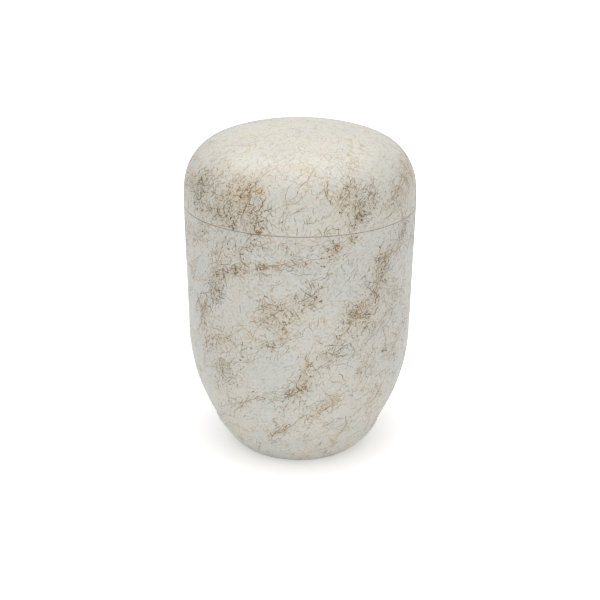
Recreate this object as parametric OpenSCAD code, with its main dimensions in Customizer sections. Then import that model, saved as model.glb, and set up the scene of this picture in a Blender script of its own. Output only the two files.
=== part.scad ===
// Cremation urn: a tall rounded vessel with a domed lid that lifts off.
// Both pieces are hollow mouldings, turned about the upright axis Z.
// The origin is the centre of the flat foot, and all sizes are in millimetres.

/* [Overall] */
// Outer diameter at the joint between vessel and lid
joint_d = 190; // [150:1:240]
// Height of the joint above the foot
joint_h = 212; // [160:1:280]
// Height of the crown above the joint
lid_h = 64; // [50:1:80]
// Thickness of both pieces
wall = 3; // [2:0.1:5]

/* [Vessel outline] */
// Diameter at the bend where the upright wall would meet the taper
bend_d = 185.4; // [150:0.2:190]
// Height of that bend above the foot
bend_h = 69; // [50:1:100]
// Radius that rounds the bend
bend_r = 156; // [60:1:200]
// Diameter at the hollow where the taper ends on the foot cup
cup_top_d = 143.6; // [130:0.2:160]
// Height of that hollow
cup_top_h = 25.4; // [22:0.2:40]
// Diameter at the rim of the foot cup
cup_rim_d = 141; // [128:0.5:146]
// Height of that rim
cup_rim_h = 20.3; // [12:0.1:24]
// Radius that softens both the hollow and the rim
cup_rim_r = 10; // [2:0.5:16]
// Diameter at the knuckle low on the foot cup
knuckle_d = 121.8; // [112:0.2:132]
// Height of the knuckle
knuckle_h = 5.8; // [4:0.1:10]
// Radius that rounds the knuckle
knuckle_r = 45; // [15:1:80]
// Diameter of the flat foot, before its edge is rounded
foot_d = 107.8; // [90:0.2:116]
// Radius that rounds the edge of the foot
foot_r = 5; // [1:0.5:8]

/* [Lid outline] */
// Radius of the crown
crown_r = 200; // [160:1:300]
// Radius of the shoulder
shoulder_r = 42; // [25:1:50]
// Radius of the flank, which ends upright at the joint
flank_r = 160; // [110:1:200]

/* [Joint] */
// Height of the collar on the vessel, which the lid drops over
collar_h = 12; // [6:0.5:20]
// Thickness of the collar
collar_wall = 2.6; // [1.5:0.1:4]
// Thickness of the lid's edge, outside the collar
lid_edge = 2.4; // [1.5:0.1:4]
// Gap all round between the collar and the lid
collar_gap = 0.4; // [0.2:0.05:1]
// Gap between the top of the collar and the step inside the lid
collar_top_gap = 1; // [0.5:0.1:3]
// Height of the thick band below the joint, inside the vessel
band_h = 8; // [3:0.5:16]
// Chamfer on the two edges that meet at the joint
edge_break = 0.35; // [0.1:0.05:1]

/* [Hidden] */
$fn = 96;

joint_r = joint_d / 2;
bore_r = joint_r - lid_edge;
collar_r = bore_r - collar_gap;
mouth_r = collar_r - collar_wall;
// Share of an edge that the roundings at its two ends may take together
edge_share = 0.96;
// Furthest that a chord of a turned profile lies inside its arc
chord_depth = 0.03;

ivory = [0.84, 0.82, 0.77];
pale_ivory = [0.87, 0.85, 0.80];

// Corners are listed as [radius, height, rounding], walked upwards with the solid on the left.

function flat(p) = [p[0], p[1]];
function unit(v) = v / norm(v);
// The direction to the left of v
function left(v) = [-v[1], v[0]];
function angle_of(v) = atan2(v[1], v[0]);
function heading(p, i) = unit(flat(p[i + 1]) - flat(p[i]));
// Angle turned at corner i, positive to the left, which is an outside corner
function turn(p, i) =
    let (before = heading(p, i - 1), after = heading(p, i))
    atan2(before[0] * after[1] - before[1] * after[0], before * after);
// Length that the rounding at corner i takes from each of its edges
function setback(p, i) =
    i <= 0 || i >= len(p) - 1 ? 0 : p[i][2] * tan(abs(turn(p, i)) / 2);
// Scale that lets the roundings at both ends of edge i fit on it
function room(p, i) =
    let (taken = setback(p, i) + setback(p, i + 1))
    taken <= 0 ? 1 : min(1, edge_share * norm(flat(p[i + 1]) - flat(p[i])) / taken);

// Points along an arc, close enough together for the chord depth
function arc(centre, r, from, sweep) =
    let (steps = ceil(abs(sweep) / (2 * acos(1 - chord_depth / r))))
    [for (k = [0 : steps])
        let (a = from + sweep * k / steps)
        centre + r * [cos(a), sin(a)]];

// The points at corner i: the corner itself, or the arc that rounds it within its two edges
function corner(p, i) =
    let (
        r = p[i][2] * min(room(p, i - 1), room(p, i)),
        side = sign(turn(p, i)),
        start = flat(p[i]) - setback(p, i) * r / p[i][2] * heading(p, i - 1),
        inward = side * left(heading(p, i - 1))
    )
    arc(start + r * inward, r, angle_of(-inward), turn(p, i));

// The points of the outline through a list of corners
function rounded(p) = [
    for (i = [0 : len(p) - 1])
        if (setback(p, i) == 0) flat(p[i])
        else each corner(p, i)
];

// Corner i moved into the solid by the depth t, with its rounding to suit
function sunk(p, i, t) =
    let (
        a = left(heading(p, i - 1)),
        b = left(heading(p, i)),
        q = flat(p[i]) + t * (a + b) / (1 + a * b)
    )
    concat(q, max(0, p[i][2] - sign(turn(p, i)) * t));

// Where the circles about a and b cross, on the upper side
function crossing(a, ra, b, rb) =
    let (
        d = norm(b - a),
        along = (ra * ra - rb * rb + d * d) / (2 * d),
        off = sqrt(ra * ra - along * along),
        across = left(unit(b - a))
    )
    a + along * unit(b - a) + off * sign(across[1]) * across;

// Outside of the vessel, from the foot up to the joint
outside = [
    [0, 0, 0],
    [foot_d / 2, 0, foot_r],
    [knuckle_d / 2, knuckle_h, knuckle_r],
    [cup_rim_d / 2, cup_rim_h, cup_rim_r],
    [cup_top_d / 2, cup_top_h, cup_rim_r],
    [bend_d / 2, bend_h, bend_r],
    [joint_r, joint_h - edge_break, 0],
    [joint_r - edge_break, joint_h, 0],
    [collar_r, joint_h, 0],
    [collar_r, joint_h + collar_h - edge_break, 0],
    [collar_r - edge_break, joint_h + collar_h, 0],
    [0, joint_h + collar_h, 0]
];
foot_i = 1;
bend_i = 5;
// Inside radius of the vessel just under the thick band
band_foot_h = joint_h - band_h - wall;
under_band_r = bend_d / 2 - wall
    + (joint_r - bend_d / 2) * (band_foot_h - bend_h) / (joint_h - bend_h);

// Hollow of the vessel, from the floor up through the mouth
hollow = [
    [0, wall, 0],
    for (i = [foot_i : bend_i]) sunk(outside, i, wall),
    [under_band_r, band_foot_h, 0],
    [mouth_r, joint_h - band_h, 0],
    [mouth_r, joint_h + 2 * collar_h, 0],
    [0, joint_h + 2 * collar_h, 0]
];

// Points of the dome at the depth t under its outer face, from the joint up to the crown
function dome(t) =
    let (
        crown_c = [0, joint_h + lid_h - crown_r],
        flank_c = [joint_r - flank_r, joint_h],
        shoulder_c = crossing(crown_c, crown_r - shoulder_r, flank_c, flank_r - shoulder_r),
        flank_top = angle_of(shoulder_c - flank_c),
        crown_edge = angle_of(shoulder_c - crown_c)
    )
    concat(
        arc(flank_c, flank_r - t, 0, flank_top),
        arc(shoulder_c, shoulder_r - t, flank_top, crown_edge - flank_top),
        arc(crown_c, crown_r - t, crown_edge, 90 - crown_edge)
    );

// Space for the collar inside the lid's edge, with the chamfer on the edge outside
module rebate() {
    translate([0, joint_h - collar_h])
        square([bore_r, 2 * collar_h + collar_top_gap]);
    polygon([
        [joint_r - 2 * edge_break, joint_h - edge_break],
        [joint_r + edge_break, joint_h - edge_break],
        [joint_r + edge_break, joint_h + 2 * edge_break]
    ]);
}

// Vessel: a tapering hollow body with a foot cup, and a collar standing in its mouth
module urn_body() {
    color(ivory)
        rotate_extrude()
            difference() {
                polygon(rounded(outside));
                polygon(rounded(hollow));
            }
}

// Lid: a hollow dome with a rebate inside its edge, resting on the vessel's shoulder
module urn_lid() {
    color(pale_ivory)
        rotate_extrude()
            difference() {
                polygon(concat(dome(0), [[0, joint_h]]));
                polygon(concat(dome(wall), [[0, joint_h - wall], [joint_r - wall, joint_h - wall]]));
                rebate();
            }
}

urn_body();
urn_lid();
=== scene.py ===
"""A cremation urn: a rounded vessel and a domed lid in satin ivory lacquer with sprayed marbling threads."""
import math
import random

import bpy
import numpy as np
from mathutils import Euler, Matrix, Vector, noise


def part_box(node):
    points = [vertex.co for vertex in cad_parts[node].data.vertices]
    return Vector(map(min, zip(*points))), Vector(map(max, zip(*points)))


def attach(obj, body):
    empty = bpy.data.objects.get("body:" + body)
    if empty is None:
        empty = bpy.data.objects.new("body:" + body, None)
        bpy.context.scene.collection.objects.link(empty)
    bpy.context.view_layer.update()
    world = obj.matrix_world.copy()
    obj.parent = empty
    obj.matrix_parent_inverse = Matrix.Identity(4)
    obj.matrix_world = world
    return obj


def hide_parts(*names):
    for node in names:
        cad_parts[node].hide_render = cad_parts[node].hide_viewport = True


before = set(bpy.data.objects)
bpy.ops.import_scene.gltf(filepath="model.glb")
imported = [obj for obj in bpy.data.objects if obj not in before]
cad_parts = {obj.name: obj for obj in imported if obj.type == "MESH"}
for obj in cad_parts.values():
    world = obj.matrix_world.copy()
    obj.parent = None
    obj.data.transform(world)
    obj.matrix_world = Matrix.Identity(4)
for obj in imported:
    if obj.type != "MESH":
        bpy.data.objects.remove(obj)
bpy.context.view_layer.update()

# ---------------------------------------------------------------------------------------------
# Studio: a white floor that keeps a soft shadow, an even white surround, a large softbox over
# the urn and a low one in front of it, and the camera at a standing viewer's angle.

SURROUND_LIGHT = 0.255
SURROUND_IN_GLOSS = 0.6
FLOOR_REACH = 7.0
FLOOR_CORNERS = 64
FLOOR_LIFT_NEAR = 0.36
FLOOR_LIFT_FAR = 0.85
FLOOR_LIFT_START = 0.07
FLOOR_LIFT_END = 0.42
FLOOR_GLOW = 0.17
FLOOR_IN_GLOSS = 0.1


def linear(hex_colour):
    """The linear colour, with its alpha, of an sRGB colour written as RRGGBB."""
    parts = [int(hex_colour[i : i + 2], 16) / 255 for i in (0, 2, 4)]
    return [p / 12.92 if p <= 0.04045 else ((p + 0.055) / 1.055) ** 2.4 for p in parts] + [1.0]


def add(tree, kind, inputs=None, stops=None, **settings):
    """Adds a node. Each input is a value, or the output socket that it is linked from."""
    node = tree.nodes.new(kind)
    for name, value in settings.items():
        setattr(node, name, value)
    for socket, value in (inputs or {}).items():
        if isinstance(value, bpy.types.NodeSocket):
            tree.links.new(value, node.inputs[socket])
        else:
            node.inputs[socket].default_value = value
    if stops:
        ramp = node.color_ramp.elements
        while len(ramp) < len(stops):
            ramp.new(0.5)
        for element, (place, colour) in zip(ramp, stops):
            element.position = place
            element.color = linear(colour)
    return node


def empty_finish(name):
    """A material with an empty node tree, and that tree."""
    material = bpy.data.materials.new(name)
    material.use_nodes = True
    material.node_tree.nodes.clear()
    return material, material.node_tree


def placed(name, data):
    """A new object in the scene, for a mesh, a lamp or a camera."""
    made = bpy.data.objects.new(name, data)
    bpy.context.collection.objects.link(made)
    return made


def white_rays(tree, mirrored):
    """1 for a ray from the camera, the share mirrored for one from gloss or glass, and 0 for the rest."""
    path = add(tree, "ShaderNodeLightPath").outputs
    shiny = add(tree, "ShaderNodeMath", {0: path["Is Glossy Ray"], 1: path["Is Transmission Ray"]},
                operation="MAXIMUM")
    weaker = add(tree, "ShaderNodeMath", {0: shiny.outputs[0], 1: mirrored}, operation="MULTIPLY")
    both = add(tree, "ShaderNodeMath", {0: path["Is Camera Ray"], 1: weaker.outputs[0]}, operation="MAXIMUM")
    return both.outputs[0]


surround = bpy.data.worlds.new("studio_surround")
bpy.context.scene.world = surround
surround.use_nodes = True
sky = surround.node_tree
sky.nodes.clear()
sky_strength = add(sky, "ShaderNodeMapRange",
                   {"Value": white_rays(sky, SURROUND_IN_GLOSS), "To Min": SURROUND_LIGHT, "To Max": 1.0})
sky_light = add(sky, "ShaderNodeBackground",
                {"Color": linear("FFFFFF"), "Strength": sky_strength.outputs[0]})
add(sky, "ShaderNodeOutputWorld", {"Surface": sky_light.outputs[0]})

# Matt white board, lit faintly from below as in a light tent. Its own light for the camera fades in
# away from the urn, so that the shadow stays.
board, paint = empty_finish("matt_white_board")
place = add(paint, "ShaderNodeTexCoord")
away = add(paint, "ShaderNodeVectorMath", {0: place.outputs["Object"]}, operation="LENGTH")
lift = add(paint, "ShaderNodeMapRange",
           {"Value": away.outputs["Value"], "From Min": FLOOR_LIFT_START, "From Max": FLOOR_LIFT_END,
            "To Min": FLOOR_LIFT_NEAR, "To Max": FLOOR_LIFT_FAR}, interpolation_type="SMOOTHSTEP")
seen_lift = add(paint, "ShaderNodeMath", {0: lift.outputs[0], 1: white_rays(paint, FLOOR_IN_GLOSS)},
                operation="MULTIPLY")
all_lift = add(paint, "ShaderNodeMath", {0: seen_lift.outputs[0], 1: FLOOR_GLOW}, operation="MAXIMUM")
matt = add(paint, "ShaderNodeBsdfDiffuse", {"Color": linear("F6F6F6")})
glow = add(paint, "ShaderNodeEmission", {"Color": linear("FFFFFF"), "Strength": all_lift.outputs[0]})
summed = add(paint, "ShaderNodeAddShader", {0: matt.outputs[0], 1: glow.outputs[0]})
add(paint, "ShaderNodeOutputMaterial", {"Surface": summed.outputs[0]})

floor_mesh = bpy.data.meshes.new("floor")
rim = [(FLOOR_REACH * math.cos(k * math.tau / FLOOR_CORNERS),
        FLOOR_REACH * math.sin(k * math.tau / FLOOR_CORNERS), 0.0) for k in range(FLOOR_CORNERS)]
floor_mesh.from_pydata(rim, [], [list(range(FLOOR_CORNERS))])
floor_mesh.materials.append(board)
placed("floor", floor_mesh)


def softbox(name, power, width, height, place, target, shines=True):
    """A rectangular softbox, not seen itself. One that doesn't shine leaves no highlight either."""
    lamp = bpy.data.lights.new(name, "AREA")
    lamp.shape = "RECTANGLE"
    lamp.size, lamp.size_y = width, height
    lamp.energy = power
    box = placed(name, lamp)
    aim = Vector(target) - Vector(place)
    box.location = place
    box.rotation_euler = aim.to_track_quat("-Z", "Y").to_euler()
    box.visible_camera = False
    box.visible_glossy = shines


softbox("softbox_above", 39.0, 2.6, 2.4, (0.0, -0.1, 1.85), (0.0, 0.0, 0.2))
softbox("softbox_front", 1.1, 0.62, 0.26, (0.05, -1.5, 0.12), (0.0, 0.0, 0.22))
softbox("softbox_low", 1.8, 2.2, 0.16, (0.0, -1.3, 0.09), (0.0, 0.0, 0.04), shines=False)

CAMERA_PLACE = (0.0, -0.950, 0.503)
CAMERA_DOWN = math.radians(21.74)
CAMERA_LEAN = math.radians(0.35)
CAMERA_SENSOR, CAMERA_LENS = 36.0, 72.618
CAMERA_SHIFT = (0.0011, -0.0008)
camera_data = bpy.data.cameras.new("camera")
camera_data.sensor_width = CAMERA_SENSOR
camera_data.lens = CAMERA_LENS
camera_data.shift_x, camera_data.shift_y = CAMERA_SHIFT
camera_data.dof.use_dof = False
camera = placed("camera", camera_data)
camera.location = CAMERA_PLACE
turned_down = Euler((math.pi / 2 - CAMERA_DOWN, 0.0, 0.0)).to_matrix()
camera.rotation_euler = (turned_down @ Euler((0.0, 0.0, CAMERA_LEAN)).to_matrix()).to_euler()
bpy.context.scene.camera = camera
bpy.context.scene.view_settings.view_transform = "Standard"

# ---------------------------------------------------------------------------------------------
# Vessel: one hollow moulding with a taper, a shallow foot cup and a collar for the lid.
# It is sprayed outside in satin ivory lacquer and left raw inside. The rim of its foot cup sits
# higher on the left than on the right, so each side has an outline of its own.

MM = 0.001
COLUMNS = 288
ARC_STEPS = 14
LONGEST_EDGE = 3.2
LACQUER_INSET = 0.15
EDGE_SHARE = 0.96
SHARP_EDGE = math.radians(32)
# The map gives its upper part to the outside and the strip below it to the inside
OUT_START, OUT_SPAN = 0.22, 0.77
IN_START, IN_SPAN = 0.2, 0.19
WALL = 3.0
JOINT_R = round(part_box("urn_body")[1][0] / MM, 1)
JOINT_H = round(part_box("urn_lid")[0][2] / MM, 1)
COLLAR_R, COLLAR_H, MOUTH_R = 92.2, 12.0, 89.6
BAND_H = 8.0
EDGE_BREAK = 0.18
SLIT_H, SLIT_DEPTH = 0.12, 1.6
FOOT_R, FOOT_EDGE = 53.9, 5.0
KNUCKLE_R, KNUCKLE_H, KNUCKLE_ROUND = 60.9, 5.8, 80.0
CUP_RIM_R, CUP_RIM_H = 70.5, 20.3
CUP_TOP_R, CUP_TOP_H = 71.8, 25.4
CUP_ROUND = 8.0
BEND_R, BEND_H, BEND_ROUND = 92.7, 69.0, 156.0
# How far the hollow above the cup slides up the taper on the left, and down it on the right. The rim
# slides with it by a share, and the knuckle by the same share along the heel, the other way.
CUP_LEAN = 4.4
RIM_SHARE = 2 / 3


def left_of(way):
    return np.array([-way[1], way[0]])


def foot(lean):
    """The corners of the foot cup and the bend, on the side that leans up for 1 and down for -1."""
    low, knuckle = np.array([FOOT_R, 0]), np.array([KNUCKLE_R, KNUCKLE_H])
    rim, top = np.array([CUP_RIM_R, CUP_RIM_H]), np.array([CUP_TOP_R, CUP_TOP_H])
    bend = np.array([BEND_R, BEND_H])
    taper = (bend - top) / np.hypot(*(bend - top))
    heel = (knuckle - low) / np.hypot(*(knuckle - low))
    slide = lean * CUP_LEAN
    return [
        (*low, FOOT_EDGE),
        (*(knuckle - slide * RIM_SHARE * heel), KNUCKLE_ROUND),
        (*(rim + slide * RIM_SHARE * taper), CUP_ROUND),
        (*(top + slide * taper), CUP_ROUND),
        (*bend, BEND_ROUND),
    ]


def ways_of(corners):
    """The unit direction and the length of each edge between corners."""
    edges = np.diff([c[:2] for c in corners], axis=0).astype(float)
    lengths = np.hypot(*edges.T)
    return edges / lengths[:, None], lengths


def turn_between(a, b):
    return math.atan2(a[0] * b[1] - a[1] * b[0], a @ b)


def rounded(corners):
    """The points of an outline through corners (radius, height, rounding), each rounding an arc."""
    ways, lengths = ways_of(corners)
    turns = [0.0] + [turn_between(a, b) for a, b in zip(ways, ways[1:])] + [0.0]
    taken = [c[2] * math.tan(abs(t) / 2) for c, t in zip(corners, turns)]
    points = []
    for i, corner in enumerate(corners):
        here = np.array(corner[:2], float)
        if not taken[i]:
            points.append(here)
            continue
        share = min(1.0, *(EDGE_SHARE * lengths[k] / (taken[k] + taken[k + 1]) for k in (i - 1, i)))
        inward = math.copysign(1, turns[i]) * left_of(ways[i - 1])
        centre = here - taken[i] * share * ways[i - 1] + corner[2] * share * inward
        for k in range(ARC_STEPS + 1):
            turned = turns[i] * k / ARC_STEPS
            c, s = math.cos(turned), math.sin(turned)
            out = -inward
            points.append(centre + corner[2] * share * np.array([c * out[0] - s * out[1],
                                                                 s * out[0] + c * out[1]]))
    return np.array(points)


def sunk(corners, depth):
    """The corners moved into the wall by depth, except the first and the last, which are dropped."""
    ways, _ = ways_of(corners)
    moved = []
    for i in range(1, len(corners) - 1):
        a, b = left_of(ways[i - 1]), left_of(ways[i])
        place = np.array(corners[i][:2]) + depth * (a + b) / (1 + a @ b)
        bend = math.copysign(1, turn_between(ways[i - 1], ways[i]))
        moved.append((place[0], place[1], max(0.0, corners[i][2] - bend * depth)))
    return moved


def finer(outlines):
    """Both outlines with their long edges cut into equal parts, the same in each."""
    lengths = np.hypot(*np.diff(outlines[0], axis=0).T)
    made = []
    for points in outlines:
        parts = [points[:1]]
        for a, b, length in zip(points, points[1:], lengths):
            count = max(1, math.ceil(length / LONGEST_EDGE))
            parts.append(a + (b - a) * (np.arange(1, count + 1) / count)[:, None])
        made.append(np.concatenate(parts))
    return made


def vessel_outlines(lean):
    """The vessel's outside up to the joint, and the rest of its outline down to the inside floor."""
    joint = [(JOINT_R, JOINT_H - SLIT_H - EDGE_BREAK, 0)]
    outside = [(0, 0, 0)] + foot(lean) + joint
    band_foot_h = JOINT_H - BAND_H - WALL
    under_band_r = BEND_R - WALL + (JOINT_R - BEND_R) * (band_foot_h - BEND_H) / (JOINT_H - BEND_H)
    shoulder = [
        (JOINT_R - EDGE_BREAK, JOINT_H - SLIT_H, 0),
        (JOINT_R - SLIT_DEPTH, JOINT_H - SLIT_H, 0),
        (JOINT_R - SLIT_DEPTH, JOINT_H, 0),
        (COLLAR_R, JOINT_H, 0),
        (COLLAR_R, JOINT_H + COLLAR_H - EDGE_BREAK, 0),
        (COLLAR_R - EDGE_BREAK, JOINT_H + COLLAR_H, 0),
        (MOUTH_R, JOINT_H + COLLAR_H, 0),
        (MOUTH_R, JOINT_H - BAND_H, 0),
        (under_band_r, band_foot_h, 0),
    ]
    floor_edge = (0, WALL, 0)
    hollow = rounded([floor_edge] + sunk(outside, WALL) + [(under_band_r, band_foot_h, 0)])
    return rounded(outside), np.concatenate([rounded(shoulder)[:-1], hollow[::-1]])


def measured(outline):
    """The outline as rows of radius, height and length from its start."""
    steps = np.concatenate([[0], np.hypot(*np.diff(outline, axis=0).T).cumsum()])
    return np.column_stack([outline, steps])


def leaning(left, right):
    """The outline of every column, changing from the left one to the right one round the axis."""
    share = ((1 + np.sin(np.arange(COLUMNS) * math.tau / COLUMNS)) / 2)[:, None, None]
    return left[None] * (1 - share) + right[None] * share


def carried_round(outline):
    """The points of one outline, or of one for every column, carried round the axis."""
    turn = np.arange(COLUMNS)[:, None] * math.tau / COLUMNS
    outline = np.broadcast_to(outline, (COLUMNS, *outline.shape[-2:]))
    across = [outline[..., 0] * np.sin(turn), -outline[..., 0] * np.cos(turn), outline[..., 1]]
    return np.stack(across, axis=2).reshape(-1, 3)


def shell_of(name, points, faces, uvs, finish, materials):
    """A piece from points in mm, with its map, its materials and its sharp edges."""
    mesh = bpy.data.meshes.new(name)
    mesh.from_pydata((points * MM).tolist(), [], faces)
    layer = mesh.uv_layers.new(name="OFBake")
    layer.uv.foreach_set("vector", np.array(uvs, np.float32).ravel())
    for material in materials:
        mesh.materials.append(material)
    mesh.polygons.foreach_set("material_index", np.array(finish, np.int32))
    mesh.polygons.foreach_set("use_smooth", np.ones(len(faces), bool))
    mesh.set_sharp_from_angle(angle=SHARP_EDGE)
    mesh.validate()
    return placed(name, mesh)


def turned(name, sides, outside_rows, materials):
    """A closed shell turned about Z from a left and a right outline, with the wall on their left."""
    left, right = (side[1:-1] for side in sides)
    rows = len(left)
    ends = np.array([[0, 0, sides[0][0][1]], [0, 0, sides[0][-1][1]]])
    steps = measured(sides[0])[:, 2]
    out_end = steps[outside_rows]
    across = np.where(steps <= out_end, OUT_START + OUT_SPAN * steps / out_end,
                      IN_START - IN_SPAN * (steps - out_end) / (steps[-1] - out_end))
    faces, uvs, finish = [], [], []
    for j in range(COLUMNS):
        k = (j + 1) % COLUMNS
        u0, u1 = j / COLUMNS, (j + 1) / COLUMNS
        middle = (u0 + u1) / 2
        faces.append((rows * COLUMNS, k * rows, j * rows))
        uvs += [(middle, across[0]), (u1, across[1]), (u0, across[1])]
        finish.append(0)
        for i in range(rows - 1):
            a, b = i + 1, i + 2
            faces.append((j * rows + i, k * rows + i, k * rows + i + 1, j * rows + i + 1))
            low = across[a] if a != outside_rows else IN_START
            uvs += [(u0, low), (u1, low), (u1, across[b]), (u0, across[b])]
            finish.append(0 if b <= outside_rows else 1)
        faces.append((rows * COLUMNS + 1, j * rows + rows - 1, k * rows + rows - 1))
        uvs += [(middle, across[-1]), (u0, across[-2]), (u1, across[-2])]
        finish.append(1)
    points = np.concatenate([carried_round(leaning(left, right)), ends])
    return shell_of(name, points, faces, uvs, finish, materials)


def drawn_in(outline):
    """The outer face moved in by the lacquer's inset, so that raised threads stay inside the size."""
    radius = np.where(outline[:, 0] > 0, outline[:, 0] - LACQUER_INSET, 0)
    return np.stack([radius, outline[:, 1]], axis=1)


# Where the sprayed threads gather, as drifts: azimuth from the front in degrees, height, length and
# width in mm, slope in degrees, number of threads, and tone from 0, rust, to 1, near black.
LID_DRIFTS = [
    (-53, 241, 28, 18, 72, 42, 0.62), (-60, 234, 18, 12, 80, 30, 0.72), (-51, 222, 18, 10, 12, 28, 0.70),
    (-40, 234, 22, 12, 70, 28, 0.60), (-27, 244, 30, 24, 60, 50, 0.42), (-21, 245, 9, 6, 0, 7, 0.10),
    (-25, 229, 32, 26, 80, 66, 0.52), (-38, 221, 24, 12, 30, 28, 0.60), (-33, 215, 9, 6, 0, 11, 0.66),
    (-20, 216, 16, 9, 70, 22, 0.58), (8, 224, 3, 3, 0, 3, 0.12), (-2, 260, 20, 10, 0, 16, 0.12),
    (-18, 254, 24, 12, 30, 18, 0.16), (12, 252, 24, 12, -42, 20, 0.16), (30, 260, 24, 12, 30, 14, 0.14),
    (20, 240, 19, 12, 40, 20, 0.44), (24, 231, 26, 18, 50, 26, 0.48), (35, 235, 13, 8, 62, 32, 0.70),
    (29, 225, 14, 9, 48, 40, 0.72), (30, 252, 18, 17, 60, 10, 0.24), (50, 228, 28, 16, 10, 26, 0.50),
    (58, 242, 26, 13, 40, 18, 0.46), (0, 246, 30, 20, 60, 8, 0.30),
]
BODY_DRIFTS = [
    (17, 202, 9, 7, 30, 13, 0.46), (15, 196, 20, 10, 45, 18, 0.56), (25, 207, 11, 6, 50, 11, 0.66),
    (-17, 185, 8, 5, 0, 7, 0.70), (-12, 187, 24, 6, 12, 27, 0.42), (3, 190, 26, 5, 4, 20, 0.42),
    (-39, 197, 26, 10, 66, 22, 0.76), (-56, 198, 24, 11, 5, 18, 0.54), (-28, 192, 16, 6, 84, 12, 0.60),
    (-46, 151, 28, 9, 54, 38, 0.60), (-42, 168, 24, 9, 44, 38, 0.62), (-33, 178, 18, 4, 28, 14, 0.70),
    (-29, 181, 9, 6, 0, 8, 0.70), (-44, 175, 24, 14, 50, 22, 0.54), (-14, 148, 24, 14, 40, 36, 0.48),
    (-8, 140, 9, 8, 0, 9, 0.46), (-18, 154, 16, 10, 40, 12, 0.58), (-5, 152, 20, 12, 60, 16, 0.56),
    (5, 163, 22, 11, 40, 28, 0.58), (9, 160, 12, 7, 10, 9, 0.54), (-10, 126, 21, 8, 32, 22, 0.52),
    (-56, 132, 32, 9, 80, 40, 0.50), (-47, 113, 34, 18, 30, 36, 0.54), (-38, 116, 26, 14, 30, 14, 0.60),
    (-27, 110, 16, 12, 20, 8, 0.62), (-41, 95, 26, 10, 24, 28, 0.54), (-42, 78, 28, 14, 40, 20, 0.52),
    (29, 145, 20, 15, 50, 62, 0.50), (26, 146, 10, 8, 0, 7, 0.44), (40, 164, 50, 15, 68, 78, 0.54),
    (42, 182, 28, 16, 62, 52, 0.56), (55, 195, 20, 9, 60, 20, 0.66), (54, 154, 32, 16, -20, 22, 0.48),
    (42, 132, 36, 22, 30, 40, 0.48), (22, 130, 34, 8, 52, 14, 0.52), (15, 113, 28, 12, 26, 26, 0.52),
    (3, 104, 18, 7, 76, 12, 0.50), (1, 87, 22, 12, 60, 44, 0.52), (3, 88, 11, 9, 30, 8, 0.40),
    (-5, 82, 14, 8, 20, 7, 0.52), (47, 108, 9, 7, 0, 9, 0.68), (56, 110, 20, 9, 60, 12, 0.60),
    (34, 100, 32, 14, 60, 24, 0.52), (17, 72, 16, 11, 40, 32, 0.38), (9, 61, 22, 7, 34, 16, 0.36),
    (-28, 68, 36, 6, 24, 10, 0.56), (-15, 75, 15, 5, 10, 6, 0.50), (-6, 66, 14, 9, 60, 10, 0.42),
    (-10, 42, 26, 10, 38, 22, 0.52), (-16, 36, 16, 8, 30, 10, 0.52), (28, 38, 24, 10, 50, 14, 0.46),
    (9, 14, 20, 12, 30, 10, 0.30), (-44, 50, 28, 12, 34, 10, 0.48), (46, 66, 32, 16, 44, 18, 0.46),
    (62, 116, 28, 16, 50, 16, 0.50), (-66, 165, 32, 16, 60, 16, 0.56), (60, 203, 16, 9, 50, 24, 0.66),
    (0, 205, 34, 8, 6, 12, 0.46), (-22, 203, 26, 10, 14, 16, 0.60),
]
# Round the back the same spray is thinner: a rule lays fewer drifts there, on about the same slope.
back = random.Random(41)
BACK_DRIFTS = 62
for number in range(BACK_DRIFTS):
    azimuth = 72 + 216 * (number + back.random()) / BACK_DRIFTS
    height = back.choice((back.uniform(22, 200), back.uniform(60, 205), back.uniform(216, 250)))
    length = back.uniform(16, 40)
    width = length * back.uniform(0.25, 0.55)
    drift = (azimuth, height, length, width, back.gauss(42, 14),
             round(length * width * back.uniform(0.03, 0.085)), back.uniform(0.4, 0.7))
    (LID_DRIFTS if height > JOINT_H else BODY_DRIFTS).append(drift)


def stained(mesh, line, drifts):
    """Stores on the mesh how strongly the threads' colour has bled into the lacquer, warm and dark."""
    co = np.empty(len(mesh.vertices) * 3)
    mesh.vertices.foreach_get("co", co)
    x, y, z = co.reshape(-1, 3).T / MM
    azimuth = np.degrees(np.arctan2(x, -y))
    up = np.interp(z, line[:, 1], line[:, 2])
    radius = np.hypot(x, y)
    warm, dark = np.zeros(len(x)), np.zeros(len(x))
    for azimuth_0, height, length, width, slope, count, tone in drifts:
        east = np.radians((azimuth - azimuth_0 + 180) % 360 - 180) * radius
        north = up - np.interp(height, line[:, 1], line[:, 2])
        c, s = math.cos(math.radians(slope)), math.sin(math.radians(slope))
        along, aside = east * c + north * s, north * c - east * s
        spread = np.exp(-((along / length) ** 2 + (aside / width) ** 2) * 4.0)
        strength = min(1.3, 14 * count / (length * width + 60))
        warm += spread * strength * (1 - tone)
        dark += spread * strength * tone
    for name, values in (("warm_stain", warm), ("dark_stain", dark)):
        layer = mesh.attributes.new(name, "FLOAT", "POINT")
        layer.data.foreach_set("value", values.clip(0, 1.5).astype(np.float32))


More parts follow.
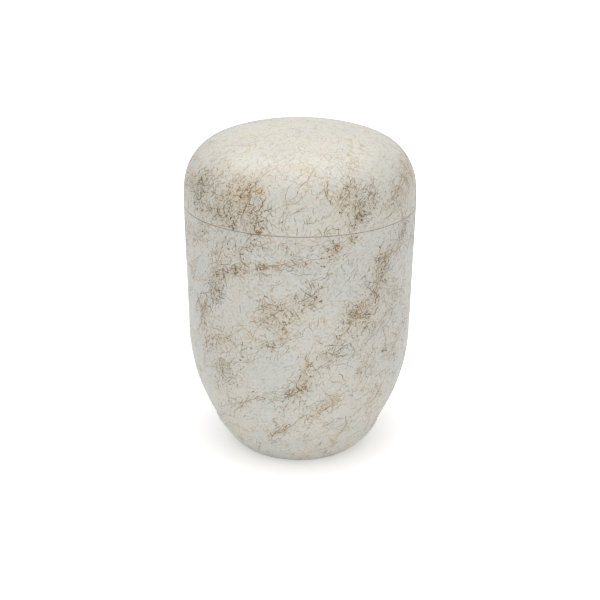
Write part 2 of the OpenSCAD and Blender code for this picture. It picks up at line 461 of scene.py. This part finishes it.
def ivory_lacquer(name, base):
    """Satin two-part lacquer, sprayed: a soft sheen over a faintly clouded, slightly dimpled ivory."""
    material, tree = empty_finish(name)
    spot = add(tree, "ShaderNodeTexCoord").outputs["Object"]
    # Clouds where the coats overlapped, about 35 mm across
    clouds = add(tree, "ShaderNodeTexNoise", {"Vector": spot, "Scale": 1 / 0.035, "Detail": 3.0,
                                              "Roughness": 0.55})
    cloud_tint = add(tree, "ShaderNodeValToRGB", {0: clouds.outputs["Fac"]},
                     stops=[(0.34, "F7F9FA"), (0.5, "FCFCFB"), (0.66, "FFFCF7")])
    clouded = add(tree, "ShaderNodeMix", {0: 1.0, 6: linear(base), 7: cloud_tint.outputs[0]},
                  data_type="RGBA", blend_type="MULTIPLY")
    # Mottling from the spray's fine drops, about 1.7 mm across
    drops = add(tree, "ShaderNodeTexNoise", {"Vector": spot, "Scale": 1 / 0.0017, "Detail": 3.0,
                                             "Roughness": 0.7})
    drop_tint = add(tree, "ShaderNodeValToRGB", {0: drops.outputs["Fac"]},
                    stops=[(0.34, "D8D2C4"), (0.45, "F5F4F0"), (0.58, "FFFFFF")])
    mottled = add(tree, "ShaderNodeMix", {0: 0.75, 6: clouded.outputs[2], 7: drop_tint.outputs[0]},
                  data_type="RGBA", blend_type="MULTIPLY")
    # Single flecks of brown about 0.5 mm across, where the noise gathers them
    cells = add(tree, "ShaderNodeTexVoronoi", {"Vector": spot, "Scale": 1 / 0.0032, "Randomness": 1.0})
    fleck = add(tree, "ShaderNodeMapRange", {"Value": cells.outputs["Distance"], "From Min": 0.05,
                                             "From Max": 0.13, "To Min": 1.0, "To Max": 0.0})
    gathers = add(tree, "ShaderNodeTexNoise", {"Vector": spot, "Scale": 1 / 0.016, "Detail": 2.0})
    gathered = add(tree, "ShaderNodeMapRange", {"Value": gathers.outputs["Fac"], "From Min": 0.48,
                                                "From Max": 0.66, "To Min": 0.0, "To Max": 0.55})
    flecks = add(tree, "ShaderNodeMath", {0: fleck.outputs[0], 1: gathered.outputs[0]}, operation="MULTIPLY")
    flecked = add(tree, "ShaderNodeMix", {0: flecks.outputs[0], 6: mottled.outputs[2],
                                          7: linear("A58A66")}, data_type="RGBA")
    # The finest threads lie flat in the coat: thin level lines of a noise, about 14 mm between bends
    winding = add(tree, "ShaderNodeTexNoise", {"Vector": spot, "Scale": 1 / 0.014, "Detail": 3.0,
                                               "Roughness": 0.55, "Distortion": 0.5})
    off_line = add(tree, "ShaderNodeMath", {0: winding.outputs["Fac"], 1: 0.5}, operation="SUBTRACT")
    apart = add(tree, "ShaderNodeMath", {0: off_line.outputs[0]}, operation="ABSOLUTE")
    line = add(tree, "ShaderNodeMapRange", {"Value": apart.outputs[0], "From Min": 0.004,
                                            "From Max": 0.016, "To Min": 0.5, "To Max": 0.0})
    shown = add(tree, "ShaderNodeMapRange", {"Value": gathers.outputs["Fac"], "From Min": 0.36,
                                             "From Max": 0.6, "To Min": 0.1, "To Max": 1.0})
    lines = add(tree, "ShaderNodeMath", {0: line.outputs[0], 1: shown.outputs[0]}, operation="MULTIPLY")
    lined = add(tree, "ShaderNodeMix", {0: lines.outputs[0], 6: flecked.outputs[2],
                                        7: linear("B39458")}, data_type="RGBA")
    # Colour that bled out of the threads, broken into patches 1 to 4 mm across
    bleed = add(tree, "ShaderNodeTexNoise", {"Vector": spot, "Scale": 1 / 0.0034, "Detail": 5.0,
                                             "Roughness": 0.75})
    broken = add(tree, "ShaderNodeMapRange", {"Value": bleed.outputs["Fac"], "From Min": 0.42,
                                              "From Max": 0.66, "To Min": 0.18, "To Max": 1.0})
    stained_so_far = lined.outputs[2]
    for attribute, colour, share in (("warm_stain", "C09448", 0.36), ("dark_stain", "968038", 0.27)):
        stain = add(tree, "ShaderNodeAttribute", attribute_name=attribute)
        amount = add(tree, "ShaderNodeMath", {0: stain.outputs["Fac"], 1: broken.outputs[0]},
                     operation="MULTIPLY")
        weaker = add(tree, "ShaderNodeMath", {0: amount.outputs[0], 1: share}, operation="MULTIPLY",
                     use_clamp=True)
        mixed = add(tree, "ShaderNodeMix", {0: weaker.outputs[0], 6: stained_so_far, 7: linear(colour)},
                    data_type="RGBA")
        stained_so_far = mixed.outputs[2]
    # Orange peel of the sprayed coat, about 1.3 mm from dimple to dimple
    peel = add(tree, "ShaderNodeTexNoise", {"Vector": spot, "Scale": 1 / 0.0013, "Detail": 1.5})
    dimples = add(tree, "ShaderNodeBump", {"Height": peel.outputs["Fac"], "Strength": 0.12,
                                           "Distance": 0.0001})
    sheen = add(tree, "ShaderNodeMapRange", {"Value": clouds.outputs["Fac"], "From Min": 0.3,
                                             "From Max": 0.7, "To Min": 0.36, "To Max": 0.46})
    finish = add(tree, "ShaderNodeBsdfPrincipled",
                 {"Base Color": stained_so_far, "Roughness": sheen.outputs[0], "IOR": 1.45,
                  "Coat Weight": 0.15, "Coat Roughness": 0.16, "Normal": dimples.outputs[0]})
    add(tree, "ShaderNodeOutputMaterial", {"Surface": finish.outputs[0]})
    return material


def raw_core_and_joint_shade(name, base):
    """The moulding's own matt material, unpainted: even, dry and slightly grainy. In the joint's slit its
    dark brown is partly painted shade.
    """
    material, tree = empty_finish(name)
    spot = add(tree, "ShaderNodeTexCoord").outputs["Object"]
    grain = add(tree, "ShaderNodeTexNoise", {"Vector": spot, "Scale": 1 / 0.0012, "Detail": 4.0})
    tint = add(tree, "ShaderNodeValToRGB", {0: grain.outputs["Fac"]},
               stops=[(0.35, "E6DCC8"), (0.65, "FFFFFF")])
    tinted = add(tree, "ShaderNodeMix", {0: 1.0, 6: linear(base), 7: tint.outputs[0]},
                 data_type="RGBA", blend_type="MULTIPLY")
    # Overspray caught in the joint, in stretches about 30 mm long
    height = add(tree, "ShaderNodeSeparateXYZ", {0: spot}).outputs["Z"]
    near_joint = add(tree, "ShaderNodeMath", {0: height, 1: JOINT_H * MM, 2: 0.0006}, operation="COMPARE")
    stretches = add(tree, "ShaderNodeTexNoise", {"Vector": spot, "Scale": 1 / 0.03, "Detail": 2.0})
    caught = add(tree, "ShaderNodeMapRange", {"Value": stretches.outputs["Fac"], "From Min": 0.46,
                                              "From Max": 0.7, "To Min": 0.0, "To Max": 0.35})
    sprayed = add(tree, "ShaderNodeMath", {0: caught.outputs[0], 1: near_joint.outputs[0]},
                  operation="MULTIPLY")
    dusted = add(tree, "ShaderNodeMix", {0: sprayed.outputs[0], 6: tinted.outputs[2],
                                         7: linear("CFCABC")}, data_type="RGBA")
    bumps = add(tree, "ShaderNodeBump", {"Height": grain.outputs["Fac"], "Strength": 0.3,
                                         "Distance": 0.0001})
    finish = add(tree, "ShaderNodeBsdfPrincipled",
                 {"Base Color": dusted.outputs[2], "Roughness": 0.72, "IOR": 1.5,
                  "Normal": bumps.outputs[0]})
    add(tree, "ShaderNodeOutputMaterial", {"Surface": finish.outputs[0]})
    return material


body_finish = ivory_lacquer("satin_ivory_lacquer_vessel", "D9D8D2")
# The core's brown also lines the joint's slit and chamfers, where it is partly painted shade
body_core_and_joint_shade = raw_core_and_joint_shade("moulded_core_and_joint_shade_vessel", "8A7050")
vessel_sides = [vessel_outlines(1), vessel_outlines(-1)]
vessel_out = finer([drawn_in(outside) for outside, _ in vessel_sides])
vessel_in = finer([inside for _, inside in vessel_sides])
whole_vessel = [np.concatenate([out, rest]) for out, rest in zip(vessel_out, vessel_in)]
body_shell = turned("body_shell", whole_vessel, len(vessel_out[0]) - 1, [body_finish, body_core_and_joint_shade])


vessel_line = measured((vessel_out[0] + vessel_out[1]) / 2)
stained(body_shell.data, vessel_line, BODY_DRIFTS)
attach(body_shell, "root")
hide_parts("urn_body")

# ---------------------------------------------------------------------------------------------
# Lid: a hollow dome moulded like the vessel, whose rebated edge drops over the collar and rests
# on the vessel's shoulder. Its crown is a little paler, and the joint shows as one dark hairline,
# from a real slit and from the core's brown, which there is partly painted shade.

CROWN_H = round(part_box("urn_lid")[1][2] / MM, 1)
CROWN_R, SHOULDER_R, FLANK_R = 200.0, 42.0, 160.0
BORE_R = 92.6
COLLAR_TOP_GAP = 1.0
FLANK_STEPS, SHOULDER_STEPS, CROWN_STEPS = 16, 26, 30


def arc_points(centre, radius, start, sweep, steps):
    turns = start + sweep * np.arange(steps + 1) / steps
    return centre + radius * np.stack([np.cos(turns), np.sin(turns)], axis=1)


def dome(depth):
    """Points of the dome at a depth under its outer face, from the joint up to the crown."""
    crown = np.array([0, CROWN_H - CROWN_R])
    flank = np.array([JOINT_R - FLANK_R, JOINT_H])
    near, far = CROWN_R - SHOULDER_R, FLANK_R - SHOULDER_R
    apart = np.hypot(*(flank - crown))
    along = (near**2 - far**2 + apart**2) / (2 * apart)
    way = (flank - crown) / apart
    side = left_of(way)
    shoulder = crown + along * way + math.sqrt(near**2 - along**2) * math.copysign(1, side[1]) * side
    flank_top = math.atan2(*(shoulder - flank)[::-1])
    crown_edge = math.atan2(*(shoulder - crown)[::-1])
    return np.concatenate([
        arc_points(flank, FLANK_R - depth, 0, flank_top, FLANK_STEPS),
        arc_points(shoulder, SHOULDER_R - depth, flank_top, crown_edge - flank_top, SHOULDER_STEPS)[1:],
        arc_points(crown, CROWN_R - depth, crown_edge, math.pi / 2 - crown_edge, CROWN_STEPS)[1:],
    ])


def lid_outline():
    """The lid's outside up to the crown, its inside down to the rebate, and the rebate."""
    outside = dome(LACQUER_INSET)
    outside = outside[outside[:, 1] > JOINT_H + 2 * EDGE_BREAK]
    outside = np.concatenate([[(JOINT_R - LACQUER_INSET, JOINT_H + EDGE_BREAK)], outside])
    inside = dome(WALL)[::-1]
    step_h = JOINT_H + COLLAR_H + COLLAR_TOP_GAP
    inside = inside[inside[:, 1] > step_h]
    step_r = np.interp(step_h, dome(WALL)[:, 1], dome(WALL)[:, 0])
    rebate = [(step_r, step_h), (BORE_R, step_h), (BORE_R, JOINT_H), (JOINT_R - EDGE_BREAK, JOINT_H)]
    return outside, inside, np.array(rebate)


def turned_dome(name, outside, inside, rebate, materials):
    """The lid's closed shell: outside and inside meet at the edge, and each ends in a pole on the axis."""
    loop = np.concatenate([outside[:-1], inside[1:], rebate])
    out_rows, rows = len(outside) - 1, len(loop)
    poles = np.array([[0, 0, outside[-1][1]], [0, 0, inside[0][1]]])
    out_steps = measured(outside)[:, 2] / measured(outside)[-1, 2]
    in_line = np.concatenate([inside, rebate, outside[:1]])
    in_steps = measured(in_line)[:, 2] / measured(in_line)[-1, 2]
    out_v, in_v = OUT_START + OUT_SPAN * out_steps, IN_START - IN_SPAN * in_steps
    faces, uvs, finish = [], [], []
    for j in range(COLUMNS):
        k = (j + 1) % COLUMNS
        u0, u1 = j / COLUMNS, (j + 1) / COLUMNS
        middle = (u0 + u1) / 2
        for i in range(rows):
            if i == out_rows - 1:
                faces.append((j * rows + i, k * rows + i, rows * COLUMNS))
                uvs += [(u0, out_v[i]), (u1, out_v[i]), (middle, out_v[i + 1])]
                faces.append((rows * COLUMNS + 1, k * rows + i + 1, j * rows + i + 1))
                uvs += [(middle, in_v[0]), (u1, in_v[1]), (u0, in_v[1])]
                finish += [0, 1]
                continue
            n = (i + 1) % rows
            faces.append((j * rows + i, k * rows + i, k * rows + n, j * rows + n))
            values, at = (out_v, i) if i < out_rows else (in_v, i - out_rows + 1)
            uvs += [(u0, values[at]), (u1, values[at]), (u1, values[at + 1]), (u0, values[at + 1])]
            finish.append(0 if i < out_rows else 1)
    points = np.concatenate([carried_round(loop), poles])
    return shell_of(name, points, faces, uvs, finish, materials)


lid_finish = ivory_lacquer("satin_ivory_lacquer_lid", "DBD9D1")
# The core's brown also lines the lid's edge chamfer in the joint, where it is partly painted shade
lid_core_and_joint_shade = raw_core_and_joint_shade("moulded_core_and_joint_shade_lid", "8A7050")
dome_out, dome_in, dome_rebate = lid_outline()
lid_shell = turned_dome("lid_shell", dome_out, dome_in, dome_rebate, [lid_finish, lid_core_and_joint_shade])
lid_line = measured(dome_out)
stained(lid_shell.data, lid_line, LID_DRIFTS)
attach(lid_shell, "root")
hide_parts("urn_lid")

# ---------------------------------------------------------------------------------------------
# Marbling threads: webbing lacquer, spun off the gun in brown threads that fall on the ivory coat
# and stay slightly raised. They were sprayed with the lid on, so some run across the joint.

HAIR_TRIES = 6500
LONG_STRANDS = 60
FLATNESS = 0.75
# Seeds further than this above or below a piece are left out for it, in mm
SEED_REACH = 45.0
# Where the crown's finer threads begin above the joint along the outline, and over what length they change
CROWN_START, CROWN_CHANGE = 30.0, 24.0
spray = random.Random(7)
whole_line = np.concatenate([vessel_line[vessel_line[:, 1] > 0.5], lid_line + [0, 0, vessel_line[-1, 2]]])


def rest_on_line(azimuth, length):
    """The point in mm at a length up the urn's outline, and the unit directions round it and up it."""
    radius, height = (np.interp(length, whole_line[:, 2], whole_line[:, k]) for k in (0, 1))
    ahead, behind = (
        [np.interp(length + d, whole_line[:, 2], whole_line[:, k]) for k in (0, 1)] for d in (0.5, -0.5)
    )
    rise = np.subtract(ahead, behind)
    rise = rise / max(np.hypot(*rise), 1e-9)
    turn = math.radians(azimuth)
    out = np.array([math.sin(turn), -math.cos(turn), 0])
    east = np.array([math.cos(turn), math.sin(turn), 0])
    return radius * out + [0, 0, height], east, rise[0] * out + [0, 0, rise[1]]


def thread(azimuth, length, slope, reach, girth, bend, curl, tone):
    """One thread's seed: where its middle lies, the way it runs, and its own sizes in mm."""
    place, east, north = rest_on_line(azimuth, length)
    c, s = math.cos(math.radians(slope)), math.sin(math.radians(slope))
    # Towards the crown they are finer and lighter
    crown = min(max((length - vessel_line[-1, 2] - CROWN_START) / CROWN_CHANGE, 0.0), 1.0)
    girth *= 1 - 0.4 * crown
    tone = min(max(tone * (1 - 0.5 * crown), 0.0), 1.0)
    return place, c * east + s * north, reach, girth, bend, curl, tone


def around(drift, spread):
    """A random place in a drift, as azimuth and length up the outline."""
    azimuth, height, length, width, slope, _, _ = drift
    along, aside = spray.gauss(0, length * spread), spray.gauss(0, width * spread)
    c, s = math.cos(math.radians(slope)), math.sin(math.radians(slope))
    up = np.interp(height, whole_line[:, 1], whole_line[:, 2]) + along * s + aside * c
    up = min(up, whole_line[-1, 2] - 4)
    radius = np.interp(up, whole_line[:, 2], whole_line[:, 0])
    return azimuth + math.degrees((along * c - aside * s) / max(radius, 12)), up


tangles, curls, strands, hairs = [], [], [], []
for drift in LID_DRIFTS + BODY_DRIFTS:
    _, _, length, width, slope, count, tone = drift
    # Within a drift the threads heap up in a few places, and a small one is a single close knot
    knot = length < 12
    # The palest drifts are mostly colour in the lacquer, with few threads
    if not knot:
        count = round(count * min(1.0, 2.5 * tone))
    heaps = [around(drift, 0.16 if knot else 0.28) for _ in range(2 + count // 12)]
    for number in range(int(count * (0.25 if knot else 0.5))):
        azimuth, up = spray.choice(heaps) if number % 3 else around(drift, 0.42)
        azimuth, up = azimuth + spray.gauss(0, 2.9), up + spray.gauss(0, 4.6)
        tangles.append(thread(azimuth, up, spray.gauss(slope, 50), min(spray.uniform(5, 15), length + 2),
                              spray.uniform(0.10, 0.17), spray.uniform(0.5, 1.2), spray.uniform(0.6, 1.5),
                              spray.gauss(tone, 0.18)))
    for number in range(int(count * (2.0 if knot else 1.25))):
        azimuth, up = heaps[number % len(heaps)] if knot or number % 2 else around(drift, 0.4)
        spread = 0.9 if knot else 2.0
        azimuth, up = azimuth + spray.gauss(0, spread), up + spray.gauss(0, 1.5 * spread)
        # Every other one is a drop: short and thick
        reach, girth = (spray.uniform(0.7, 1.6), spray.uniform(0.2, 0.32)) if number % 2 else (
            spray.uniform(1.4, 4.2), spray.uniform(0.12, 0.2))
        curls.append(thread(azimuth, up, spray.uniform(0, 180), reach, girth, 0.8, spray.uniform(0.8, 1.6),
                            spray.gauss(tone, 0.22)))
    for _ in range((1 + int(length > 20) + count // 40) if tone > 0.2 else 0):
        strands.append(thread(*around(drift, 0.3), spray.gauss(slope, 9),
                              length * spray.uniform(0.9, 1.7) + 8, spray.uniform(0.11, 0.17),
                              spray.uniform(0.6, 1.3), spray.uniform(0.2, 0.8),
                              spray.gauss(tone + 0.1, 0.15)))
# Places on the front with fewer hairs: azimuth in degrees, height and reach in mm. The first, on the lid's
# front, is a painted highlight; the spray left the rest clear.
CLEAR_AND_HIGHLIGHT_PLACES = [(-3, 233, 20), (-32, 141, 17), (-19, 171, 14), (17, 177, 17), (-19, 100, 16), (10, 137, 12),
                (-12, 60, 10), (32, 118, 12)]
clear_and_highlight_spots = [(rest_on_line(azimuth, np.interp(height, whole_line[:, 1], whole_line[:, 2]))[0], reach)
               for azimuth, height, reach in CLEAR_AND_HIGHLIGHT_PLACES]
areas = np.clip(whole_line[:, 0], 1, None)
shares = np.concatenate([[0], ((areas[1:] + areas[:-1]) / 2 * np.diff(whole_line[:, 2])).cumsum()])
shares /= shares[-1]
for _ in range(HAIR_TRIES):
    up = np.interp(spray.random(), shares, whole_line[:, 2])
    on_lid = up > vessel_line[-1, 2]
    azimuth = spray.uniform(0, 360)
    slope = spray.gauss(74, 30) if on_lid else spray.gauss(34, 42)
    # The spray leaves clear places about 25 mm across, more of them on the vessel
    spot = rest_on_line(azimuth, up)[0]
    cover = noise.noise(Vector(spot / 24)) + 0.5 * noise.noise(Vector(spot / 9 + 50))
    # Fewer hairs round the listed places; on the lid's front this is a painted highlight
    cleared_or_highlit = sum(math.exp(-(np.linalg.norm(spot - centre) / reach) ** 2) for centre, reach in clear_and_highlight_spots)
    if spray.random() > 0.64 + 1.5 * cover + 0.12 * on_lid - 0.08 * (up < 120) - 0.7 * cleared_or_highlit:
        continue
    hairs.append(thread(azimuth, up, slope, spray.uniform(3, 11), spray.uniform(0.09, 0.155),
                        spray.uniform(0.3, 1.2), spray.uniform(0.2, 1.2), spray.betavariate(4, 2.4)))
for _ in range(LONG_STRANDS):
    up = np.interp(spray.random(), shares, whole_line[:, 2])
    strands.append(thread(spray.uniform(0, 360), up, spray.gauss(30, 16), spray.uniform(20, 60),
                          spray.uniform(0.1, 0.16), spray.uniform(0.6, 1.4), spray.uniform(0.1, 0.6),
                          spray.uniform(0.4, 0.8)))


def thread_tree():
    """Geometry Nodes: a curve on each seed, bent, curled, rested on the skin and given its thickness."""
    tree = bpy.data.node_groups.new("marbling_threads", "GeometryNodeTree")
    face = tree.interface
    face.new_socket("Geometry", in_out="OUTPUT", socket_type="NodeSocketGeometry")
    for name, kind in (("Geometry", "Geometry"), ("Skin", "Object"), ("Points", "Int"),
                       ("Bend length", "Float"), ("Bend size", "Float"), ("Curl length", "Float"),
                       ("Curl size", "Float"), ("Flatness", "Float"), ("Lowest", "Float"),
                       ("Highest", "Float"), ("Finish", "Material")):
        face.new_socket(name, in_out="INPUT", socket_type=f"NodeSocket{kind}")
    given = add(tree, "NodeGroupInput").outputs

    def own(name, kind="FLOAT"):
        return add(tree, "GeometryNodeInputNamedAttribute", {"Name": name}, data_type=kind).outputs[0]

    line = add(tree, "GeometryNodeCurvePrimitiveLine", {"Start": (-0.5, 0, 0), "End": (0.5, 0, 0)})
    beads = add(tree, "GeometryNodeResampleCurve", {"Curve": line.outputs[0], "Count": given["Points"]})
    aim = add(tree, "FunctionNodeAlignRotationToVector", {"Vector": own("heading", "FLOAT_VECTOR")},
              axis="X")
    laid = add(tree, "GeometryNodeInstanceOnPoints",
               {"Points": given["Geometry"], "Instance": beads.outputs[0], "Rotation": aim.outputs[0],
                "Scale": own("reach")})
    real = add(tree, "GeometryNodeRealizeInstances", {"Geometry": laid.outputs[0]})
    position = add(tree, "GeometryNodeInputPosition").outputs[0]
    moved = None
    for length, size, share in (("Bend length", "Bend size", "bend"), ("Curl length", "Curl size", "curl")):
        pitch = add(tree, "ShaderNodeMath", {0: 1.0, 1: given[length]}, operation="DIVIDE")
        drift_noise = add(tree, "ShaderNodeTexNoise",
                          {"Vector": position, "W": own("strand"), "Scale": pitch.outputs[0],
                           "Detail": 1.0}, noise_dimensions="4D")
        centred = add(tree, "ShaderNodeVectorMath", {0: drift_noise.outputs["Color"], 1: (0.5, 0.5, 0.5)},
                      operation="SUBTRACT")
        amount = add(tree, "ShaderNodeMath", {0: given[size], 1: own(share)}, operation="MULTIPLY")
        scaled = add(tree, "ShaderNodeVectorMath", {0: centred.outputs[0], "Scale": amount.outputs[0]},
                     operation="SCALE")
        if moved:
            scaled = add(tree, "ShaderNodeVectorMath", {0: moved, 1: scaled.outputs[0]}, operation="ADD")
        moved = scaled.outputs[0]
    bent = add(tree, "GeometryNodeSetPosition", {"Geometry": real.outputs[0], "Offset": moved})
    skin = add(tree, "GeometryNodeObjectInfo", {"Object": given["Skin"]}).outputs["Geometry"]
    nearest = add(tree, "GeometryNodeProximity", {"Geometry": skin}, target_element="FACES")
    rested = add(tree, "GeometryNodeSetPosition",
                 {"Geometry": bent.outputs[0], "Position": nearest.outputs[0]})
    # Thickness: fullest in the middle, fine at the ends, and uneven on the way
    run = add(tree, "GeometryNodeSplineParameter").outputs["Factor"]
    rest_of_run = add(tree, "ShaderNodeMath", {0: 1.0, 1: run}, operation="SUBTRACT")
    hump = add(tree, "ShaderNodeMath", {0: run, 1: rest_of_run.outputs[0]}, operation="MULTIPLY")
    swell = add(tree, "ShaderNodeMath", {0: hump.outputs[0], 1: 0.4}, operation="POWER")
    uneven = add(tree, "ShaderNodeTexNoise", {"Vector": position, "W": own("strand"), "Scale": 1 / 0.0024,
                                              "Detail": 1.0}, noise_dimensions="4D")
    pulse = add(tree, "ShaderNodeMapRange", {"Value": uneven.outputs["Fac"], "From Min": 0.38,
                                             "From Max": 0.7, "To Min": 0.85, "To Max": 3.5})
    shape = add(tree, "ShaderNodeMath", {0: swell.outputs[0], 1: pulse.outputs[0]}, operation="MULTIPLY")
    thick = add(tree, "ShaderNodeMath", {0: shape.outputs[0], 1: own("girth")}, operation="MULTIPLY")
    kept = rested.outputs[0]
    for name, value in (("thick", thick.outputs[0]), ("along", run)):
        kept = add(tree, "GeometryNodeStoreNamedAttribute",
                   {"Geometry": kept, "Name": name, "Value": value},
                   data_type="FLOAT", domain="POINT").outputs[0]
    height = add(tree, "ShaderNodeSeparateXYZ", {0: position}).outputs["Z"]
    for limit, way in (("Lowest", "LESS_THAN"), ("Highest", "GREATER_THAN")):
        past = add(tree, "FunctionNodeCompare", {0: height, 1: given[limit]},
                   data_type="FLOAT", operation=way)
        kept = add(tree, "GeometryNodeDeleteGeometry", {"Geometry": kept, "Selection": past.outputs[0]},
                   domain="POINT").outputs[0]
    section = add(tree, "GeometryNodeCurvePrimitiveCircle", {"Resolution": 3, "Radius": 1.0})
    wound = add(tree, "GeometryNodeStoreNamedAttribute",
                {"Geometry": section.outputs[0], "Name": "round",
                 "Value": add(tree, "GeometryNodeSplineParameter").outputs["Factor"]},
                data_type="FLOAT", domain="POINT")
    tube = add(tree, "GeometryNodeCurveToMesh",
               {"Curve": kept, "Profile Curve": wound.outputs[0], "Scale": own("thick"), "Fill Caps": True})
    # The threads flow out before they dry, so they lie flatter than they are wide
    proud = add(tree, "GeometryNodeProximity", {"Geometry": skin}, target_element="FACES")
    flatter = add(tree, "ShaderNodeMix", {"Factor": given["Flatness"], 4: position, 5: proud.outputs[0]},
                  data_type="VECTOR")
    tube = add(tree, "GeometryNodeSetPosition", {"Geometry": tube.outputs[0], "Position": flatter.outputs[1]})
    # The map across is the thread's tone, and up it is the place along the thread
    tone_place = add(tree, "ShaderNodeMath", {0: own("tone"), 1: 0.92, 2: 0.03}, operation="MULTIPLY_ADD")
    wider = add(tree, "ShaderNodeMath", {0: own("round"), 1: 0.02, 2: tone_place.outputs[0]},
                operation="MULTIPLY_ADD")
    map_place = add(tree, "ShaderNodeCombineXYZ", {0: wider.outputs[0], 1: own("along")})
    mapped = add(tree, "GeometryNodeStoreNamedAttribute",
                 {"Geometry": tube.outputs[0], "Name": "OFBake", "Value": map_place.outputs[0]},
                 data_type="FLOAT2", domain="CORNER")
    smooth = add(tree, "GeometryNodeSetShadeSmooth", {0: mapped.outputs[0]})
    plain = add(tree, "GeometryNodeRealizeInstances", {"Geometry": smooth.outputs[0]})
    coated = add(tree, "GeometryNodeSetMaterial", {"Geometry": plain.outputs[0], "Material": given["Finish"]})
    add(tree, "NodeGroupOutput", {0: coated.outputs[0]})
    return tree


def skin_of(name, left, right):
    """The outer face alone, for the threads to rest on."""
    rows = len(left)
    faces = [(j * rows + i, (j + 1) % COLUMNS * rows + i, (j + 1) % COLUMNS * rows + i + 1, j * rows + i + 1)
             for j in range(COLUMNS) for i in range(rows - 1)]
    mesh = bpy.data.meshes.new(name)
    mesh.from_pydata((carried_round(leaning(left, right)) * MM).tolist(), [], faces)
    return placed(name, mesh)


def webbing_lacquer(name):
    """Webbing lacquer, air-dried: satin brown threads from rust to near black, paler at their ends."""
    material, tree = empty_finish(name)
    place = add(tree, "ShaderNodeUVMap", uv_map="OFBake")
    parts = add(tree, "ShaderNodeSeparateXYZ", {0: place.outputs[0]})
    tones = add(tree, "ShaderNodeValToRGB", {0: parts.outputs["X"]},
                stops=[(0.0, "C68632"), (0.25, "A87424"), (0.5, "82631E"), (0.75, "5E4A18"), (1.0, "3A2E10")])
    from_middle = add(tree, "ShaderNodeMath", {0: parts.outputs["Y"], 1: 0.5}, operation="SUBTRACT")
    toward_end = add(tree, "ShaderNodeMath", {0: from_middle.outputs[0]}, operation="ABSOLUTE")
    fade = add(tree, "ShaderNodeMapRange", {"Value": toward_end.outputs[0], "From Min": 0.3,
                                            "From Max": 0.5, "To Min": 0.0, "To Max": 0.5})
    faded = add(tree, "ShaderNodeMix", {0: fade.outputs[0], 6: tones.outputs[0], 7: linear("C0A268")},
                data_type="RGBA")
    finish = add(tree, "ShaderNodeBsdfPrincipled",
                 {"Base Color": faded.outputs[2], "Roughness": 0.55, "IOR": 1.45,
                  "Specular IOR Level": 0.3})
    add(tree, "ShaderNodeOutputMaterial", {"Surface": finish.outputs[0]})
    return material


web_tree = thread_tree()
web_finish = webbing_lacquer("webbing_lacquer_brown")
# For each kind: its seeds, points on each thread, and the length and size of its bends and curls in mm
KINDS = {
    "hairs": (hairs, 13, 12, 22, 3.6, 3.6),
    "tangles": (tangles, 29, 10, 26, 3.4, 4.6),
    "curls": (curls, 12, 6, 14, 1.8, 4.0),
    "strands": (strands, 90, 24, 34, 5.0, 5.0),
}


def laid_threads(name, kind, skin, lowest, highest):
    """Runs the tree on one kind's seeds and keeps the threads between two heights as a plain mesh."""
    seeds, points, bend_length, bend_size, curl_length, curl_size = KINDS[kind]
    start = bpy.data.meshes.new(name + "_seeds")
    near = [s for s in seeds if lowest - SEED_REACH * MM < s[0][2] * MM < highest + SEED_REACH * MM]
    start.from_pydata([tuple(s[0] * MM) for s in near], [], [])
    columns = {
        "reach": [s[2] * MM for s in near],
        "girth": [s[3] * MM for s in near],
        "bend": [s[4] for s in near],
        "curl": [s[5] for s in near],
        "tone": [s[6] for s in near],
        "strand": [(s[0][0] * 7.13 + s[0][2] * 3.71 + s[2]) % 97 for s in near],
    }
    for attribute, values in columns.items():
        start.attributes.new(attribute, "FLOAT", "POINT").data.foreach_set("value", values)
    heading = start.attributes.new("heading", "FLOAT_VECTOR", "POINT")
    heading.data.foreach_set("vector", np.array([s[1] for s in near], np.float32).ravel())
    seeded = placed(name + "_seeds", start)
    grown = seeded.modifiers.new("threads", "NODES")
    grown.node_group = web_tree
    values = {"Skin": skin, "Points": points, "Bend length": bend_length * MM, "Bend size": bend_size * MM,
              "Curl length": curl_length * MM, "Curl size": curl_size * MM, "Flatness": FLATNESS,
              "Lowest": lowest, "Highest": highest, "Finish": web_finish}
    for socket in web_tree.interface.items_tree:
        if socket.in_out == "INPUT" and socket.name in values:
            grown[socket.identifier] = values[socket.name]
    seeded.update_tag()
    graph = bpy.context.evaluated_depsgraph_get()
    mesh = bpy.data.meshes.new_from_object(seeded.evaluated_get(graph), depsgraph=graph)
    mesh.name = name
    seeded.modifiers.clear()
    bpy.data.objects.remove(seeded)
    for spare in [a.name for a in mesh.attributes if a.name in
                  ("reach", "girth", "bend", "curl", "tone", "strand", "heading", "thick", "along", "round")]:
        mesh.attributes.remove(mesh.attributes[spare])
    return placed(name, mesh)


EDGE_ROOM = 0.1
body_skin = skin_of("body_skin", *(side[1:] for side in vessel_out))
lid_skin = skin_of("lid_skin", dome_out, dome_out)
for kind in KINDS:
    for part, skin, lowest, highest in (
        ("body", body_skin, EDGE_ROOM * MM, (JOINT_H - SLIT_H - EDGE_BREAK - EDGE_ROOM) * MM),
        ("lid", lid_skin, (JOINT_H + EDGE_BREAK + EDGE_ROOM) * MM, CROWN_H * MM),
    ):
        web = laid_threads(f"{part}_{kind}", kind, skin, lowest, highest)
        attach(web, "root")
bpy.data.objects.remove(body_skin)
bpy.data.objects.remove(lid_skin)
